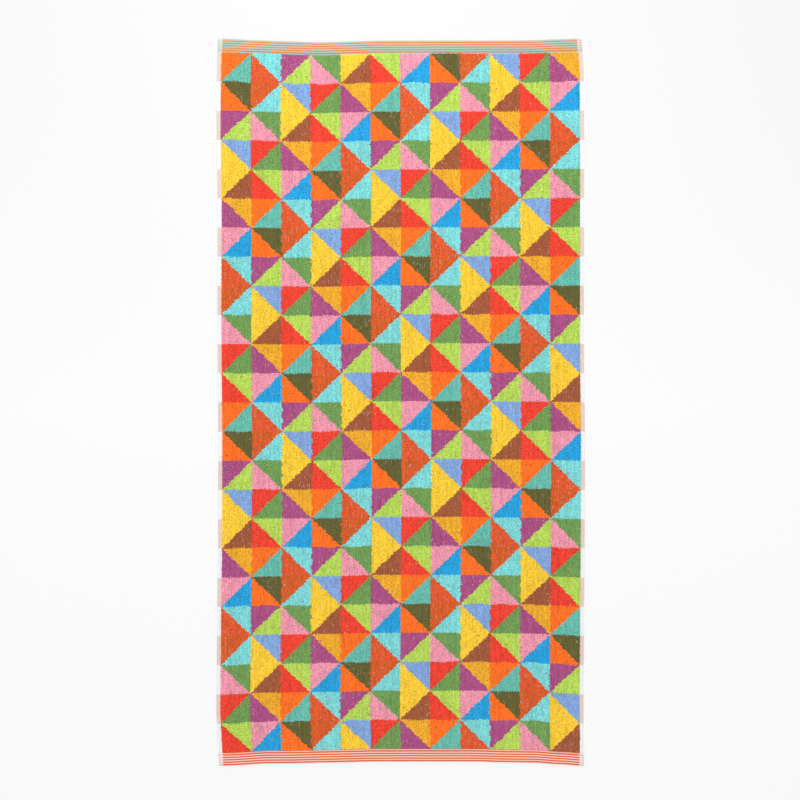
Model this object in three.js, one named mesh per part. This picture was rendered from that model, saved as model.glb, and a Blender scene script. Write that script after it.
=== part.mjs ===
// A bath towel of woven terry, laid out flat with its patterned face up.
//
// Millimetres. X runs across the cloth, +Y along it and +Z up from the surface it lies on.
// The origin is on that surface, under the middle of the towel's outline.

import * as THREE from 'three';
import { mergeVertices } from 'three/addons/utils/BufferGeometryUtils.js';

const { clamp, degToRad, lerp, smoothstep } = THREE.MathUtils;

// Driving sizes.
const cloth = { width: 708, length: 1400 }; // selvedge to selvedge, and hem to hem
const pile = { thickness: 4.4, slope: 2.6 }; // loops on both faces, and how soon they rise at an edge
const selvedge = { width: 8, thickness: 1.4 }; // flat woven, without loops
const hem = { depth: 25.5, thickness: 2.4, seam: 1.8, seamWidth: 3 }; // turned under and sewn down
const rim = { round: 0.9, share: 0.45 }; // rounded edge, and its share of the thickness there
const grid = { across: 26, along: 37 }; // spacing of the points over the loops

// How far out of its straight line each edge strays. "at" runs from 0 to 1: upwards along the
// long sides, and from left to right along the ends.
const edges = {
  left: [
    { at: 0.0, out: -2.6 },
    { at: 0.03, out: -0.6 },
    { at: 0.07, out: 2.8 },
    { at: 0.2, out: 1.2 },
    { at: 0.3, out: -0.6 },
    { at: 0.44, out: -1.0 },
    { at: 0.63, out: 0.6 },
    { at: 0.75, out: 0.0 },
    { at: 0.9, out: 2.2 },
    { at: 0.97, out: 1.1 },
    { at: 1.0, out: -0.8 },
  ],
  right: [
    { at: 0.0, out: -0.3 },
    { at: 0.03, out: 0.0 },
    { at: 0.08, out: -0.6 },
    { at: 0.2, out: 0.3 },
    { at: 0.3, out: 1.4 },
    { at: 0.43, out: 2.1 },
    { at: 0.6, out: 0.0 },
    { at: 0.85, out: 0.3 },
    { at: 0.95, out: -0.6 },
    { at: 0.975, out: -2.5 },
    { at: 1.0, out: -5.2 },
  ],
  bottom: [
    { at: 0.0, out: 3.7 },
    { at: 0.05, out: 2.6 },
    { at: 0.12, out: -0.9 },
    { at: 0.2, out: -1.3 },
    { at: 0.3, out: -2.9 },
    { at: 0.44, out: -4.8 },
    { at: 0.7, out: -4.8 },
    { at: 0.78, out: -3.3 },
    { at: 0.86, out: -2.7 },
    { at: 0.94, out: 1.0 },
    { at: 1.0, out: 3.7 },
  ],
  top: [
    { at: 0.0, out: 1.0 },
    { at: 0.02, out: 2.0 },
    { at: 0.1, out: -0.8 },
    { at: 0.2, out: -3.1 },
    { at: 0.28, out: -4.8 },
    { at: 0.36, out: -3.4 },
    { at: 0.44, out: -1.5 },
    { at: 0.7, out: -1.3 },
    { at: 0.85, out: -1.1 },
    { at: 0.94, out: 1.1 },
    { at: 1.0, out: 2.2 },
  ],
};

// Low swells in the loops, over the flat underside: crest to crest, height and direction.
const swells = [
  { length: 330, height: 0.22, turn: 24 },
  { length: 210, height: 0.14, turn: -61 },
];

// How far an edge strays at a place along it, level at each row of its table and smooth between.
function strayOf(rows, at) {
  const next = Math.max(1, rows.findIndex((row) => row.at >= at));
  const [before, after] = [rows[next - 1], rows[next]];
  return lerp(before.out, after.out, smoothstep(at, before.at, after.at));
}

// Grid lines over one dimension: the same steps in from both edges, and even steps between them.
function gridLines(size, stepsIn, spacing) {
  const inset = stepsIn.at(-1);
  const between = size - 2 * inset;
  const count = Math.round(between / spacing);
  const middle = Array.from({ length: count - 1 }, (_, i) => inset + (between * (i + 1)) / count);
  const stepsOut = stepsIn.map((step) => size - step).reverse();
  return [...stepsIn, ...middle, ...stepsOut];
}

// Where a point of the flat cloth lies, with the edges' strays shared out over it.
function placeOf(across, along) {
  const s = across / cloth.width;
  const t = along / cloth.length;
  const left = -cloth.width / 2 - strayOf(edges.left, t);
  const right = cloth.width / 2 + strayOf(edges.right, t);
  const bottom = -cloth.length / 2 - strayOf(edges.bottom, s);
  const top = cloth.length / 2 + strayOf(edges.top, s);
  return { x: lerp(left, right, s), y: lerp(bottom, top, t) };
}

// Height that the swells add to the loops.
function swellOf(across, along) {
  return swells.reduce((sum, { length, height, turn }) => {
    const way = across * Math.cos(degToRad(turn)) + along * Math.sin(degToRad(turn));
    return sum + height * Math.sin((2 * Math.PI * way) / length);
  }, 0);
}

// Thickness of the cloth: hem, selvedge or loops, thinner at its rounded edge.
function thicknessOf(across, along) {
  const fromSide = Math.min(across, cloth.width - across);
  const fromEnd = Math.min(along, cloth.length - along);
  const sewn = smoothstep(fromEnd, hem.depth - 2 * hem.seamWidth, hem.depth - hem.seamWidth);
  const pastHem = smoothstep(fromEnd, hem.depth - hem.seamWidth, hem.depth);
  const woven = lerp(lerp(hem.thickness, hem.seam, sewn), selvedge.thickness, pastHem);
  const loops =
    smoothstep(fromSide, selvedge.width, selvedge.width + pile.slope) *
    smoothstep(fromEnd, hem.depth, hem.depth + pile.slope);
  const full = lerp(woven, pile.thickness + swellOf(across, along), loops);
  const edge = clamp(Math.min(fromSide, fromEnd) / rim.round, 0, 1);
  return full * lerp(rim.share, 1, edge);
}

// The whole sheet: a box of one cell's depth whose points are moved to the cloth's two faces.
function makeSheet() {
  const sideSteps = [0, rim.round, selvedge.width, selvedge.width + pile.slope];
  const seamSteps = [hem.depth - 2 * hem.seamWidth, hem.depth - hem.seamWidth];
  const endSteps = [0, rim.round, ...seamSteps, hem.depth, hem.depth + pile.slope];
  const columns = gridLines(cloth.width, sideSteps, grid.across);
  const rows = gridLines(cloth.length, endSteps, grid.along);

  const box = new THREE.BoxGeometry(1, 1, 1, columns.length - 1, rows.length - 1, 1);
  box.deleteAttribute('normal');
  box.deleteAttribute('uv');
  const sheet = mergeVertices(box);
  const points = sheet.attributes.position;
  const point = new THREE.Vector3();
  for (let i = 0; i < points.count; i += 1) {
    point.fromBufferAttribute(points, i).addScalar(0.5);
    const across = columns[Math.round(point.x * (columns.length - 1))];
    const along = rows[Math.round(point.y * (rows.length - 1))];
    const isFace = point.z > 0.5;
    const { x, y } = placeOf(across, along);
    points.setXYZ(i, x, y, isFace ? thicknessOf(across, along) : 0);
  }

  // The uneven edges shift the outline's middle, so it is set back over the origin.
  sheet.computeBoundingBox();
  const middle = sheet.boundingBox.getCenter(new THREE.Vector3());
  sheet.translate(-middle.x, -middle.y, 0);
  sheet.computeVertexNormals();
  return sheet;
}

const terry = new THREE.MeshStandardMaterial({ color: 0xd98a55, roughness: 0.95, metalness: 0 });
const towel = new THREE.Mesh(makeSheet(), terry);
towel.name = 'towel';

const part = new THREE.Group();
part.add(towel);

export default part;
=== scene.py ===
import math

import bmesh
import bpy
import numpy as np
from mathutils import Matrix, Vector
from mathutils.bvhtree import BVHTree


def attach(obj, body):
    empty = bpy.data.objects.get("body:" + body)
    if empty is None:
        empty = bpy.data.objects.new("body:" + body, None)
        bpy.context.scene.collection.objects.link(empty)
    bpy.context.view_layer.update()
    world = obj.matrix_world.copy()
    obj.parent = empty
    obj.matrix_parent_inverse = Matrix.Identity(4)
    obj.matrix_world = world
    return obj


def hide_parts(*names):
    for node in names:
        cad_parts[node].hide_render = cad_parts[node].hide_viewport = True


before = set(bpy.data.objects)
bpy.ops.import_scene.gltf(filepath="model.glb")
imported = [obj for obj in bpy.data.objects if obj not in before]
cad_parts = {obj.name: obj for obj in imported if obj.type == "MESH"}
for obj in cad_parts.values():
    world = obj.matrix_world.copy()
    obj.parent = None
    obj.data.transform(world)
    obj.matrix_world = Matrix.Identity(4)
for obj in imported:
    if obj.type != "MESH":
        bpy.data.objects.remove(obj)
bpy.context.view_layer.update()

# A bath towel of patterned terry, laid flat and seen from straight above.
# Metres; X runs across the cloth, Y along it, and the floor is just under z = 0.

mm = 0.001
pixel = 1.934 * mm  # what one pixel of the photograph spans on the towel

# camera, lights and floor

studio = {
    "pictureWidth": 800 * pixel,
    "aim": (-0.6 * pixel, 2.4 * pixel),  # the towel lies this far off the picture's middle
    "lens": 85,
    "sensor": 36,
    "worldLight": 1.12,
    "sunLight": 0.40,
    "sunSpread": 35,  # degrees, a wide soft source
    "sunFrom": (-0.30, 0.35, 1.00),
    "topLight": 12.0,  # past the top hem, so the light falls off towards the bottom one
    "topLightSize": 1.0,
    "topLightPlace": (-0.1, 1.6, 0.9),
    "topLightAim": (0, 0.3, 0),
    "floorSize": 40,
    "floorGap": 0.1 * mm,
    "floorTones": (0.345, 0.346, 0.285),  # below the towel, beside its middle and above it; painted shade, darkest above it, where the top light falls strongest
    "floorReach": 0.8,
    "floorGrain": 0.06,
    "floorGrainScale": 3.0,
    "floorGlow": 0.495,  # painted light: the floor glows like a white table lit from below, which keeps the shadows faint
}


def lookAlong(direction):
    return Vector(direction).to_track_quat("Z", "Y").to_euler()


def setUpStudio(s):
    bpy.context.scene.view_settings.view_transform = "Standard"
    away = s["pictureWidth"] * s["lens"] / s["sensor"]
    camera = bpy.data.objects.new("camera", bpy.data.cameras.new("camera"))
    camera.data.lens = s["lens"]
    camera.data.sensor_width = s["sensor"]
    camera.location = (s["aim"][0], s["aim"][1], away)
    bpy.context.collection.objects.link(camera)
    bpy.context.scene.camera = camera

    world = bpy.data.worlds.new("studio")
    world.use_nodes = True
    world.node_tree.nodes["Background"].inputs["Color"].default_value = (1, 1, 1, 1)
    world.node_tree.nodes["Background"].inputs["Strength"].default_value = s["worldLight"]
    bpy.context.scene.world = world

    sun = bpy.data.objects.new("softLight", bpy.data.lights.new("softLight", "SUN"))
    sun.data.energy = s["sunLight"]
    sun.data.angle = math.radians(s["sunSpread"])
    sun.rotation_euler = lookAlong(s["sunFrom"])
    bpy.context.collection.objects.link(sun)

    top = bpy.data.objects.new("topLight", bpy.data.lights.new("topLight", "AREA"))
    top.data.energy = s["topLight"]
    top.data.size = s["topLightSize"]
    top.location = s["topLightPlace"]
    top.rotation_euler = lookAlong(Vector(s["topLightPlace"]) - Vector(s["topLightAim"]))
    top.visible_camera = False
    bpy.context.collection.objects.link(top)

    bm = bmesh.new()
    bmesh.ops.create_grid(bm, x_segments=1, y_segments=1, size=s["floorSize"] / 2)
    bmesh.ops.translate(bm, verts=bm.verts, vec=(0, 0, -s["floorGap"]))
    floor = pieceFrom(bm, "floor")
    floor.data.materials.append(floorMaterial(s))


def pieceFrom(bm, name):
    mesh = bpy.data.meshes.new(name)
    bm.to_mesh(mesh)
    bm.free()
    return linked(mesh)


def linked(mesh):
    piece = bpy.data.objects.new(mesh.name, mesh)
    bpy.context.collection.objects.link(piece)
    return piece


# small helpers for materials


def linear(hexColour, shade=1.0):
    # a colour as written on a screen, as the light it sends back
    parts = [int(hexColour[i : i + 2], 16) / 255 for i in (1, 3, 5)]
    light = [c / 12.92 if c <= 0.04045 else ((c + 0.055) / 1.055) ** 2.4 for c in parts]
    return tuple(shade * c for c in light) + (1,)


def grey(value):
    return (value, value, value, 1)


def newMaterial(name, roughness=0.9, sheen=0.0):
    material = bpy.data.materials.new(name)
    material.use_nodes = True
    shader = material.node_tree.nodes["Principled BSDF"]
    shader.inputs["Roughness"].default_value = roughness
    shader.inputs["Specular IOR Level"].default_value = 0.2
    shader.inputs["Sheen Weight"].default_value = sheen
    shader.inputs["Sheen Roughness"].default_value = 0.5
    return material, material.node_tree, shader


def calc(tree, operation, a, b=None, c=None):
    # one Math node; a, b and c are numbers or the outputs of other nodes
    node = tree.nodes.new("ShaderNodeMath")
    node.operation = operation
    for socket, value in zip(node.inputs, (a, b, c)):
        if value is None:
            continue
        if isinstance(value, (int, float)):
            socket.default_value = value
        else:
            tree.links.new(value, socket)
    return node.outputs[0]


def noiseOf(tree, vector, scale, detail=2.0, roughness=0.5):
    node = tree.nodes.new("ShaderNodeTexNoise")
    node.inputs["Scale"].default_value = scale
    node.inputs["Detail"].default_value = detail
    node.inputs["Roughness"].default_value = roughness
    tree.links.new(vector, node.inputs["Vector"])
    return node.outputs["Fac"]


def rampOf(tree, value, stops, interpolation="LINEAR"):
    node = tree.nodes.new("ShaderNodeValToRGB")
    node.color_ramp.interpolation = interpolation
    elements = node.color_ramp.elements
    while len(elements) < len(stops):
        elements.new(0.5)
    for element, (place, colour) in zip(elements, sorted(stops)):
        element.position = place
        element.color = colour
    tree.links.new(value, node.inputs["Fac"])
    return node.outputs["Color"]


def mixOf(tree, share, a, b, blend="MIX"):
    node = tree.nodes.new("ShaderNodeMix")
    node.data_type = "RGBA"
    node.blend_type = blend
    # the first sockets of these names are for plain numbers, so the colour ones are taken by place
    for socket, value in ((node.inputs[0], share), (node.inputs[6], a), (node.inputs[7], b)):
        if isinstance(value, (int, float, tuple)):
            socket.default_value = value
        else:
            tree.links.new(value, socket)
    return node.outputs[2]


def objectPlace(tree):
    return tree.nodes.new("ShaderNodeTexCoord").outputs["Object"]


def attributeOf(tree, name):
    node = tree.nodes.new("ShaderNodeAttribute")
    node.attribute_name = name
    return node.outputs["Fac"]


def bumpInto(tree, shader, height, distance, strength=1.0):
    node = tree.nodes.new("ShaderNodeBump")
    node.inputs["Distance"].default_value = distance
    node.inputs["Strength"].default_value = strength
    tree.links.new(height, node.inputs["Height"])
    tree.links.new(node.outputs["Normal"], shader.inputs["Normal"])


def floorMaterial(s):
    # paper with painted shade that darkens it a little towards the top light, so that the lit floor looks
    # even
    material, tree, shader = newMaterial("paleFloor", roughness=0.8)
    place = objectPlace(tree)
    split = tree.nodes.new("ShaderNodeSeparateXYZ")
    tree.links.new(place, split.inputs[0])
    upwards = calc(tree, "MULTIPLY_ADD", split.outputs["Y"], 0.5 / s["floorReach"], 0.5)
    cloudy = noiseOf(tree, place, s["floorGrainScale"])
    grain = calc(tree, "MULTIPLY_ADD", cloudy, s["floorGrain"], -s["floorGrain"] / 2)
    shades = [(k / 2, grey(tone)) for k, tone in enumerate(s["floorTones"])]
    tree.links.new(rampOf(tree, calc(tree, "ADD", upwards, grain), shades), shader.inputs["Base Color"])
    # painted light: the floor's own glow, which fills in the shadows
    shader.inputs["Emission Color"].default_value = grey(1)
    shader.inputs["Emission Strength"].default_value = s["floorGlow"]
    return material


setUpStudio(studio)
print("studio ready")

# the cloth, in the sizes it was woven to

cloth = {
    "width": 708 * mm,
    "length": 1400 * mm,
    "selvedge": 8 * mm,
    "hem": 25.5 * mm,
    "cuts": 2,  # finer than the plain solid, along each of its edges
    "puckerHeight": 0.4 * mm,
    "puckerLengths": (43 * mm, 67 * mm),
    "puckerRise": 0.5,  # share of the height that is there all along, and what each wave adds
    "puckerWave": 0.25,
    "mergeDistance": 0.02 * mm,
    "joinAngle": 60,  # degrees, for two triangles that make one four-sided face
    "rimFacing": 0.97,  # how squarely a face of the rim looks outwards
    "upperFacing": 0.1,
    "placeRounds": 4,
}

fieldWidth = cloth["width"] - 2 * cloth["selvedge"]
fieldLength = cloth["length"] - 2 * cloth["hem"]

# the yarns, and the pattern they make

yarns = {
    "red": "#F04632",
    "scarlet": "#E4602F",
    "orange": "#FF7A1E",
    "rust": "#DC6428",
    "brown": "#AA5F3C",
    "mustard": "#F0B42D",
    "yellow": "#FAD23C",
    "lime": "#BEDC5F",
    "olive": "#6A6634",
    "green": "#78A55A",
    "teal": "#6EC3B4",
    "aqua": "#87DCDC",
    "sky": "#23AAE1",
    "blue": "#8CB0E0",
    "pink": "#F0A0B4",
    "plum": "#B4558C",
}

# squares split corner to corner, the way patchwork is pieced; each has one yarn in each half
pattern = {
    "squaresAcross": 12,
    "squaresAlong": 24,
    "pairs": [
        ("red", "lime"),
        ("sky", "pink"),
        ("orange", "olive"),
        ("aqua", "rust"),
        ("yellow", "blue"),
        ("green", "red"),
        ("plum", "mustard"),
        ("teal", "orange"),
        ("scarlet", "aqua"),
        ("lime", "plum"),
        ("pink", "green"),
        ("brown", "yellow"),
    ],
    "stepAcross": 1,
    "stepAlong": 5,
}

squareWidth = fieldWidth / pattern["squaresAcross"]
squareLength = fieldLength / pattern["squaresAlong"]


def mergedCopy(node):
    bm = bmesh.new()
    bm.from_mesh(node.data)
    bmesh.ops.remove_doubles(bm, verts=bm.verts, dist=cloth["mergeDistance"])
    angle = math.radians(cloth["joinAngle"])
    bmesh.ops.join_triangles(bm, faces=bm.faces, angle_face_threshold=angle, angle_shape_threshold=angle)
    return bm


def readOutline(bm):
    # each edge of the laid cloth, as places along it and how far out it is there
    lines = {}
    for side, axis, sign in (("left", 0, -1), ("right", 0, 1), ("bottom", 1, -1), ("top", 1, 1)):
        rim = {v for face in bm.faces if face.normal[axis] * sign > cloth["rimFacing"] for v in face.verts}
        lines[side] = np.array(sorted((v.co[1 - axis], v.co[axis]) for v in rim)).T
    return lines


def flatPlace(outline, x, y):
    # from a place on the laid towel to distances across and along the flat cloth
    left, right = (np.interp(y, *outline[side]) for side in ("left", "right"))
    bottom, top = (np.interp(x, *outline[side]) for side in ("bottom", "top"))
    return (x - left) / (right - left) * cloth["width"], (y - bottom) / (top - bottom) * cloth["length"]


def laidPlace(outline, across, along):
    # the way back, found in a few rounds because each edge depends on the other place
    s, t = across / cloth["width"], along / cloth["length"]
    x, y = (s - 0.5) * cloth["width"], (t - 0.5) * cloth["length"]
    for _ in range(cloth["placeRounds"]):
        left, right = (np.interp(y, *outline[side]) for side in ("left", "right"))
        bottom, top = (np.interp(x, *outline[side]) for side in ("bottom", "top"))
        x, y = left + s * (right - left), bottom + t * (top - bottom)
    return x, y


def inField(across, along):
    # how far inside the looped field a place is; negative on hems and selvedges
    fromSide = np.minimum(across, cloth["width"] - across) - cloth["selvedge"]
    fromEnd = np.minimum(along, cloth["length"] - along) - cloth["hem"]
    return np.minimum(fromSide, fromEnd)


def makeCloth():
    bm = mergedCopy(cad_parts["towel"])
    outline = readOutline(bm)
    bmesh.ops.subdivide_edges(bm, edges=bm.edges, cuts=cloth["cuts"], use_grid_fill=True)
    bm.normal_update()
    bm.verts.ensure_lookup_table()

    places = np.array([v.co for v in bm.verts])
    upper = np.array([v.normal.z > cloth["upperFacing"] for v in bm.verts])
    across, along = flatPlace(outline, places[:, 0], places[:, 1])
    depth = np.clip(inField(across, along) / pile["slope"], 0, 1)
    sunk = pile["height"] * depth * depth * (3 - 2 * depth)  # room for the loops
    fromEnd = np.minimum(along, cloth["length"] - along)
    hemShare = np.clip(1 - fromEnd / cloth["hem"], 0, 1)
    waves = sum(np.sin(2 * math.pi * across / length + k) for k, length in enumerate(cloth["puckerLengths"]))
    puckers = cloth["puckerHeight"] * hemShare * (cloth["puckerRise"] + cloth["puckerWave"] * waves)
    heights = places[:, 2] + puckers - np.where(upper, sunk, 0)
    for vert, height in zip(bm.verts, heights):
        vert.co.z = height

    # the flat cloth's own map, in metres
    layer = bm.loops.layers.uv.new("cloth")
    for face in bm.faces:
        face.smooth = True
        middle = face.calc_center_median()
        a, b = flatPlace(outline, middle.x, middle.y)
        if min(b, cloth["length"] - b) < cloth["hem"]:
            face.material_index = 2 if b < cloth["length"] / 2 else 3
        elif min(a, cloth["width"] - a) < cloth["selvedge"]:
            face.material_index = 4
        else:
            face.material_index = 0 if face.normal.z > 0 else 1
        for corner in face.loops:
            corner[layer].uv = across[corner.vert.index], along[corner.vert.index]
    return pieceFrom(bm, "clothSheet"), outline


# which yarn shows where; the same rule in numbers for loops and in nodes for the ground


def squareOf(across, along):
    u = (across - cloth["selvedge"]) / squareWidth
    v = (along - cloth["hem"]) / squareLength
    column = np.clip(np.floor(u), 0, pattern["squaresAcross"] - 1)
    row = np.clip(np.floor(v), 0, pattern["squaresAlong"] - 1)
    return column, row, u - column, v - row


def yarnsAt(across, along):
    column, row, inU, inV = squareOf(across, along)
    pair = ((column * pattern["stepAcross"] + row * pattern["stepAlong"]) % len(pattern["pairs"])).astype(int)
    leans = (column + row) % 2 > 0.5
    above = np.where(leans, inU, 1 - inU) > inV
    names = list(yarns)
    firsts = np.array([names.index(first) for first, second in pattern["pairs"]])[pair]
    seconds = np.array([names.index(second) for first, second in pattern["pairs"]])[pair]
    return np.where(above, firsts, seconds), np.where(above, seconds, firsts)


def clothPlace(tree):
    uv = tree.nodes.new("ShaderNodeUVMap")
    uv.uv_map = "cloth"
    split = tree.nodes.new("ShaderNodeSeparateXYZ")
    tree.links.new(uv.outputs[0], split.inputs[0])
    return split.outputs["X"], split.outputs["Y"]


def patternNodes(tree, shade, swapped=False):
    across, along = clothPlace(tree)
    u = calc(tree, "DIVIDE", calc(tree, "SUBTRACT", across, cloth["selvedge"]), squareWidth)
    v = calc(tree, "DIVIDE", calc(tree, "SUBTRACT", along, cloth["hem"]), squareLength)
    column, row = calc(tree, "FLOOR", u), calc(tree, "FLOOR", v)
    inU, inV = calc(tree, "SUBTRACT", u, column), calc(tree, "SUBTRACT", v, row)
    leans = calc(tree, "FLOORED_MODULO", calc(tree, "ADD", column, row), 2)
    leaning = calc(tree, "MULTIPLY", leans, inU)
    upright = calc(tree, "MULTIPLY", calc(tree, "SUBTRACT", 1, leans), calc(tree, "SUBTRACT", 1, inU))
    above = calc(tree, "GREATER_THAN", calc(tree, "ADD", leaning, upright), inV)
    stepsUp = calc(tree, "MULTIPLY", row, pattern["stepAlong"])
    steps = calc(tree, "MULTIPLY_ADD", column, pattern["stepAcross"], stepsUp)
    count = len(pattern["pairs"])
    turn = calc(tree, "FLOORED_MODULO", steps, count)
    pair = calc(tree, "DIVIDE", calc(tree, "ADD", turn, 0.5), count)
    firsts, seconds = (
        rampOf(
            tree,
            pair,
            [(k / count, linear(yarns[names[half]], shade)) for k, names in enumerate(pattern["pairs"])],
            "CONSTANT",
        )
        for half in (0, 1)
    )
    return mixOf(tree, above, firsts, seconds) if swapped else mixOf(tree, above, seconds, firsts)


ground = {
    "grainPerMetre": 700,
    # painted shade: the ground's yarn colours darkened, as under the loops
    "shade": 0.75,
    "darkest": 0.7,
    "relief": 0.8 * mm,
}


def groundMaterial(g):
    # the ground weave that shows between the loops, with painted shade darkening its yarn colours
    material, tree, shader = newMaterial("terryGround", roughness=0.95, sheen=0.1)
    grain = noiseOf(tree, objectPlace(tree), g["grainPerMetre"])
    shades = rampOf(tree, grain, [(0.3, grey(g["darkest"])), (0.7, grey(1))])
    colour = mixOf(tree, 1.0, patternNodes(tree, g["shade"]), shades, "MULTIPLY")
    tree.links.new(colour, shader.inputs["Base Color"])
    bumpInto(tree, shader, grain, g["relief"])
    return material


reverse = {
    "loopsPerMetre": 380,
    "shade": 0.95,
    # painted shade between the loops of this face, which are there only as bump
    "darkest": 0.6,
    "relief": 1.4 * mm,
}


def reverseMaterial(r):
    # the other face, where each square shows its two yarns the other way round, with painted shade between
    # its bumped loops
    material, tree, shader = newMaterial("terryReverse", roughness=0.95, sheen=0.1)
    cells = tree.nodes.new("ShaderNodeTexVoronoi")
    cells.inputs["Scale"].default_value = r["loopsPerMetre"]
    tree.links.new(objectPlace(tree), cells.inputs["Vector"])
    loops = cells.outputs["Distance"]
    shades = rampOf(tree, loops, [(0.1, grey(1)), (0.75, grey(r["darkest"]))])
    colour = mixOf(tree, 1.0, patternNodes(tree, r["shade"], swapped=True), shades, "MULTIPLY")
    tree.links.new(colour, shader.inputs["Base Color"])
    bumpInto(tree, shader, calc(tree, "SUBTRACT", 1, loops), r["relief"])
    return material


# flat woven ends and edges

weave = {
    "warpPitch": 0.9 * mm,
    "weftPitch": 1.15 * mm,
    "relief": 0.22 * mm,
    "shadow": 0.80,  # between the threads, up to this height on them
    "shadowTop": 0.6,
    "white": "#E6E7E8",
}

# thin lines across the ends; the first bright one lies a little way out from the loops
hemLines = {
    "bottom": {
        "pale": "#E4CCC8",
        "bright": "#E05A04",
        "fold": "#E4B8A8",
        "tickShare": 0.38,
        "first": 4.6 * mm,
        "pitch": 4.65 * mm,
    },
    "top": {
        "pale": "#60C8CC",
        "bright": "#E07404",
        "fold": "#C09484",
        "tickShare": 0.62,
        "first": 3.6 * mm,
        "pitch": 4.50 * mm,
    },
    "foldWidth": 1.3 * mm,  # duller yarn along the folded edge
    "brightShare": 0.59,
    "soft": 0.03,
    "wander": 0.5 * mm,
    "wanderPerMetre": 22,
    "endTicks": 7.6 * mm,  # faded ends of the lines, out at the selvedge
    "endGap": 8.4 * mm,
    "gapShare": 0.2,
    "tickFade": 0.03,  # how soon ticks and lines end, as shares of twice the gap's place
    "lineFade": 0.02,
}

selvedge = {
    "barColour": "#DAC4B8",
    "mottle": 0.9,
    "mottlePerMetre": 420,
}


def weaveRelief(tree, across, along):
    # plain weave: each thread passes over and under its neighbours in turn
    u = calc(tree, "DIVIDE", across, weave["warpPitch"])
    v = calc(tree, "DIVIDE", along, weave["weftPitch"])
    threads = (calc(tree, "SINE", calc(tree, "MULTIPLY", w, math.pi)) for w in (u, v))
    warp, weft = (calc(tree, "ABSOLUTE", thread) for thread in threads)
    crossing = calc(tree, "ADD", calc(tree, "FLOOR", u), calc(tree, "FLOOR", v))
    over = calc(tree, "FLOORED_MODULO", crossing, 2)
    under = calc(tree, "SUBTRACT", 1, over)
    return calc(tree, "MULTIPLY_ADD", over, weft, calc(tree, "MULTIPLY", under, warp))


def finishWoven(tree, shader, colour, across, along):
    relief = weaveRelief(tree, across, along)
    shades = rampOf(tree, relief, [(0.0, grey(weave["shadow"])), (weave["shadowTop"], grey(1))])
    tree.links.new(mixOf(tree, 1.0, colour, shades, "MULTIPLY"), shader.inputs["Base Color"])
    bumpInto(tree, shader, relief, weave["relief"])


def fromEdge(tree, place, size):
    return calc(tree, "MINIMUM", place, calc(tree, "SUBTRACT", size, place))


def hemMaterial(name, lines, h):
    material, tree, shader = newMaterial(name, roughness=0.85, sheen=0.05)
    across, along = clothPlace(tree)
    wander = calc(tree, "SUBTRACT", noiseOf(tree, objectPlace(tree), h["wanderPerMetre"]), 0.5)
    fromPile = calc(tree, "SUBTRACT", cloth["hem"], fromEdge(tree, along, cloth["length"]))
    place = calc(tree, "MULTIPLY_ADD", wander, 2 * h["wander"], fromPile)
    fromFirst = calc(tree, "DIVIDE", calc(tree, "SUBTRACT", place, lines["first"]), lines["pitch"])
    fromLine = calc(tree, "PINGPONG", fromFirst, 0.5)
    edge = h["brightShare"] / 2
    stops = [(edge - h["soft"], linear(lines["bright"])), (edge + h["soft"], linear(lines["pale"]))]
    colour = rampOf(tree, fromLine, stops)
    folded = calc(tree, "GREATER_THAN", fromPile, cloth["hem"] - h["foldWidth"])
    colour = mixOf(tree, folded, colour, linear(lines["fold"]))

    fromSide = calc(tree, "DIVIDE", fromEdge(tree, across, cloth["width"]), 2 * h["endGap"])
    ticks = h["endTicks"] / (2 * h["endGap"])
    tick, gap = grey(lines["tickShare"]), grey(h["gapShare"])
    fades = h["tickFade"], h["lineFade"]
    stops = [(0, tick), (ticks - fades[0], tick), (ticks, gap), (0.5 - fades[1], gap), (0.5, grey(1))]
    whole = mixOf(tree, rampOf(tree, fromSide, stops), linear(weave["white"]), colour)
    finishWoven(tree, shader, whole, across, along)
    return material


def selvedgeMaterial(s):
    # the weft's colour shows through in a bar beside every other row of squares
    material, tree, shader = newMaterial("selvedgeWeave", roughness=0.85)
    across, along = clothPlace(tree)
    row = calc(tree, "DIVIDE", calc(tree, "SUBTRACT", along, cloth["hem"]), squareLength)
    bar = calc(tree, "FLOORED_MODULO", calc(tree, "FLOOR", row), 2)
    mottle = noiseOf(tree, objectPlace(tree), s["mottlePerMetre"])
    mottled = calc(tree, "MULTIPLY_ADD", mottle, s["mottle"], 1 - s["mottle"] / 2)
    strength = calc(tree, "MULTIPLY", bar, mottled)
    colour = mixOf(tree, strength, linear(weave["white"]), linear(s["barColour"]))
    finishWoven(tree, shader, colour, across, along)
    return material


# the loops of the pile

pile = {
    "waleSpacing": 2.6 * mm,
    "rowSpacing": 3.0 * mm,
    "height": 1.8 * mm,
    "rooted": 1.0 * mm,
    "footWidth": 4.3 * mm,
    "footLength": 4.9 * mm,
    "footRange": (0.85, 1.15),
    "heightRange": (0.8, 1.08),
    "crown": 0.3,  # radius of the loop's top, where its foot is one across
    "slope": 2.6 * mm,
    "lean": 0.35 * mm,
    "stray": 0.12,
    "edgeSway": 0.9 * mm,  # how far a colour's upright edges wander, and the level ones
    "edgeRise": 0.25 * mm,
    "swayLengths": (3.4 * mm, 23 * mm),
    "riseLengths": (8 * mm, 19 * mm),
    "edgeWarp": 3,
    "toneMiddle": 0.4,
    "toneTop": 0.8,  # faded loops lie above it
    "tone": 0.19,
    "toneKept": 0.55,  # how much of its shade a loop takes from the one below it
    "toneWales": 0.06,
    "strayShare": 0.005,  # loops of a square's other yarn that come through
    "straySize": 0.62,
    "fadedShare": 0.022,  # pale upright flecks, in the darker yarns and more in some places
    "fadedPatch": 0.8,
    "fadedPatchLengths": (170 * mm, 260 * mm),
    "fadedTones": (0.85, 1.0),
    "fadedWidth": 0.55,
    "fadedTurn": 0.2,
    "fadedYarns": ("rust", "brown", "olive", "green", "plum", "scarlet"),
    "seed": 11,
}

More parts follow.
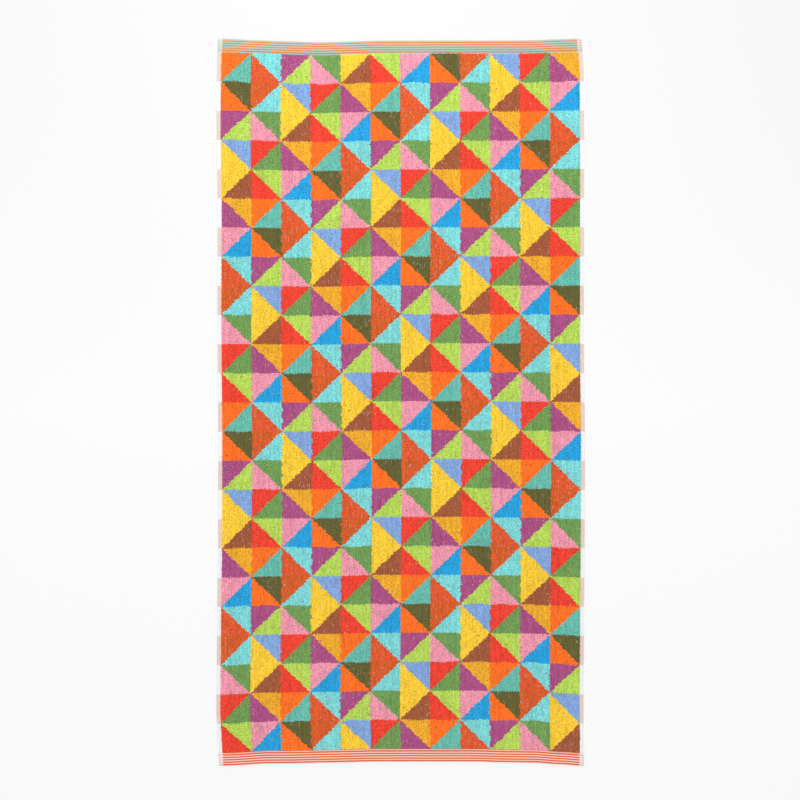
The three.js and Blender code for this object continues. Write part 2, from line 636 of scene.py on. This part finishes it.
yarn = {
    "dark": 0.80,
    "light": 1.16,
    "fadedMix": 0.36,
    "fadedColour": "#F2E4DC",
    "plyDepth": 0.16 * mm,
    "plyStrength": 0.8,
    "plies": (2.0, 4.0, 1.0),  # turns of twist over one loop's width, length and height
}


def yarnMaterial(name, colour):
    material, tree, shader = newMaterial("yarn-" + name, roughness=0.9, sheen=0.15)
    pale = linear(yarn["fadedColour"])
    faded = tuple(c + yarn["fadedMix"] * (p - c) for c, p in zip(linear(colour), pale))
    shades = [
        (0.0, linear(colour, yarn["dark"])),
        (pile["toneMiddle"], linear(colour)),
        (pile["toneTop"], linear(colour, yarn["light"])),
        (1.0, faded),
    ]
    tree.links.new(rampOf(tree, attributeOf(tree, "tone"), shades), shader.inputs["Base Color"])
    ply = calc(tree, "SINE", calc(tree, "MULTIPLY", attributeOf(tree, "ply"), 2 * math.pi))
    bumpInto(tree, shader, ply, yarn["plyDepth"], yarn["plyStrength"])
    return material


def arraysOf(bm):
    bm.verts.index_update()
    points = np.array([v.co for v in bm.verts])
    faces = np.array([[v.index for v in f.verts] for f in bm.faces])
    bm.free()
    return points, faces


def joinedMesh(name, placed, faces):
    # many copies of one small shape; placed holds the points of each copy in turn
    corners = (faces[None] + placed.shape[1] * np.arange(len(placed))[:, None, None]).reshape(-1, 3)
    mesh = bpy.data.meshes.new(name)
    mesh.from_pydata(placed.reshape(-1, 3), [], corners)
    mesh.shade_smooth()
    return mesh


def setAttribute(mesh, name, values):
    mesh.attributes.new(name, "FLOAT", "POINT").data.foreach_set("value", values.astype(np.float32))


def heightsOn(surface, x, y):
    tree = BVHTree.FromObject(surface, bpy.context.evaluated_depsgraph_get())
    down = Vector((0, 0, -1))
    return np.array([tree.ray_cast(Vector((a, b, 0.1)), down)[0].z for a, b in zip(x, y)])


def loopShape():
    # one loop of yarn, a low rounded lump, open where it stands in the ground
    bm = bmesh.new()
    foot = bmesh.ops.create_circle(bm, segments=3, radius=0.5)["verts"]
    crown = bmesh.ops.create_circle(bm, segments=3, radius=pile["crown"])["verts"]
    bmesh.ops.rotate(bm, verts=crown, cent=(0, 0, 0), matrix=Matrix.Rotation(math.radians(60), 3, "Z"))
    bmesh.ops.translate(bm, verts=crown, vec=(0, 0, 1))
    bmesh.ops.convex_hull(bm, input=foot + crown)
    bmesh.ops.delete(bm, geom=[f for f in bm.faces if f.normal.z < -0.5], context="FACES_ONLY")
    return arraysOf(bm)


def keptAlong(rng, wales, rows, kept):
    # shades that change slowly up each wale, as short upright streaks
    shades = rng.normal(0, 1, (wales, rows))
    for row in range(1, rows):
        shades[:, row] = kept * shades[:, row - 1] + math.sqrt(1 - kept * kept) * shades[:, row]
    return shades


def warpedWave(place, other, lengths):
    # a wave that comes sooner or later as the other place changes, so that no rhythm shows
    return np.sin(place / lengths[0] + pile["edgeWarp"] * np.sin(other / lengths[1]))


def makePile(outline):
    rng = np.random.default_rng(pile["seed"])
    wales = round(fieldWidth / pile["waleSpacing"])
    rows = round(fieldLength / pile["rowSpacing"])
    wale, row = (grid.ravel() for grid in np.meshgrid(np.arange(wales), np.arange(rows), indexing="ij"))
    count = len(wale)
    across = cloth["selvedge"] + (wale + 0.5) * fieldWidth / wales
    along = cloth["hem"] + (row + 0.25 + 0.5 * (wale % 2)) * fieldLength / rows
    sway = pile["edgeSway"] * warpedWave(along, across, pile["swayLengths"])
    rise = pile["edgeRise"] * warpedWave(across, along, pile["riseLengths"])
    shown, hidden = yarnsAt(across + sway, along + rise)
    strays = rng.random(count) < pile["strayShare"]
    index = np.where(strays, hidden, shown)

    tone = pile["toneMiddle"] + pile["tone"] * keptAlong(rng, wales, rows, pile["toneKept"]).ravel()
    tone += pile["toneWales"] * rng.normal(0, 1, wales)[wale]
    tone = np.clip(tone, 0, pile["toneTop"])
    fades = np.isin(index, [list(yarns).index(name) for name in pile["fadedYarns"]])
    patchAcross, patchAlong = (2 * math.pi / length for length in pile["fadedPatchLengths"])
    patches = np.sin(across * patchAcross + 2) * np.sin(along * patchAlong + 1)
    faded = fades & (rng.random(count) < pile["fadedShare"] * (1 + pile["fadedPatch"] * patches))
    faded |= fades & np.roll(faded, 1)  # most flecks take in the next loop up as well
    tone = np.where(faded, rng.uniform(*pile["fadedTones"], count), tone)

    across = across + rng.normal(0, pile["stray"], count) * pile["waleSpacing"]
    along = along + rng.normal(0, pile["stray"], count) * pile["rowSpacing"]
    x, y = laidPlace(outline, across, along)
    z = heightsOn(towel, x, y)

    size = np.stack([
        pile["footWidth"] * rng.uniform(*pile["footRange"], count),
        pile["footLength"] * rng.uniform(*pile["footRange"], count),
        (pile["height"] + pile["rooted"]) * rng.uniform(*pile["heightRange"], count),
    ], axis=1)
    size[strays] *= pile["straySize"], pile["straySize"], 1
    size[faded] *= pile["fadedWidth"], 1, 1
    turn = rng.uniform(-math.pi / 2, math.pi / 2, count)
    turn[faded] *= pile["fadedTurn"]
    lean = pile["lean"] * rng.normal(0, 1, (count, 2))

    shape, faces = loopShape()
    points = shape[None] * size[:, None]
    points[:, :, :2] += shape[None, :, 2:] * lean[:, None]
    cosine, sine = np.cos(turn)[:, None], np.sin(turn)[:, None]
    placed = np.stack([
        x[:, None] + cosine * points[:, :, 0] - sine * points[:, :, 1],
        y[:, None] + sine * points[:, :, 0] + cosine * points[:, :, 1],
        z[:, None] - pile["rooted"] + points[:, :, 2],
    ], axis=2)

    pieces = []
    for number, (name, colour) in enumerate(yarns.items()):
        mine = np.flatnonzero(index == number)
        mesh = joinedMesh("pile-" + name, placed[mine], faces)
        setAttribute(mesh, "tone", np.repeat(tone[mine], len(shape)))
        setAttribute(mesh, "ply", np.tile(shape @ np.array(yarn["plies"]), len(mine)))
        mesh.materials.append(yarnMaterial(name, colour))
        pieces.append(linked(mesh))
        print("pile of", name, len(mine), "loops")
    return pieces


# the seam that holds each hem down

seam = {
    "fromPile": 3.4 * mm,
    "pitch": 3.1 * mm,
    "length": 2.5 * mm,
    "width": 0.6 * mm,
    "height": 0.5 * mm,
    "sunk": 0.05 * mm,
    "fromSide": 2 * mm,
    "wander": 0.12 * mm,
    "thread": "#E8703A",
    # painted shade in the dips of the thread's twist
    "twistShade": 0.8,
    "twistPerMetre": 900,
    "twistDepth": 0.15 * mm,
    "seed": 5,
}


def threadMaterial(s):
    material, tree, shader = newMaterial("seamThread", roughness=0.6, sheen=0.1)
    twist = noiseOf(tree, objectPlace(tree), s["twistPerMetre"])
    # the thread darker where its twist dips: painted shade
    shades = [(0.3, linear(s["thread"], s["twistShade"])), (0.7, linear(s["thread"]))]
    tree.links.new(rampOf(tree, twist, shades), shader.inputs["Base Color"])
    bumpInto(tree, shader, twist, s["twistDepth"])
    return material


def makeSeams(outline, s):
    rng = np.random.default_rng(s["seed"])
    bm = bmesh.new()
    bmesh.ops.create_icosphere(bm, subdivisions=1, radius=0.5)
    shape, faces = arraysOf(bm)
    sewn = cloth["width"] - 2 * s["fromSide"]
    count = round(sewn / s["pitch"])
    row = s["fromSide"] + (np.arange(count) + 0.5) * sewn / count
    inset = cloth["hem"] - s["fromPile"]
    across = np.concatenate([row, row])
    along = np.repeat([inset, cloth["length"] - inset], count) + rng.normal(0, s["wander"], 2 * count)
    height = heightsOn(towel, *laidPlace(outline, across, along)) - s["sunk"]
    points = shape[None] * (s["length"], s["width"], s["height"])
    x, y = laidPlace(outline, across[:, None] + points[..., 0], along[:, None] + points[..., 1])
    z = height[:, None] + points[..., 2]
    mesh = joinedMesh("hemSeams", np.stack([x, y, z], axis=2), faces)
    mesh.materials.append(threadMaterial(s))
    print("stitches:", 2 * count)
    return linked(mesh)


towel, outline = makeCloth()
towel.data.materials.append(groundMaterial(ground))
towel.data.materials.append(reverseMaterial(reverse))
towel.data.materials.append(hemMaterial("hemBottomWeave", hemLines["bottom"], hemLines))
towel.data.materials.append(hemMaterial("hemTopWeave", hemLines["top"], hemLines))
towel.data.materials.append(selvedgeMaterial(selvedge))
print("cloth sheet:", len(towel.data.polygons), "faces")

onCloth = makePile(outline) + [makeSeams(outline, seam)]

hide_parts("towel")
for piece in [towel] + onCloth:
    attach(piece, "root")
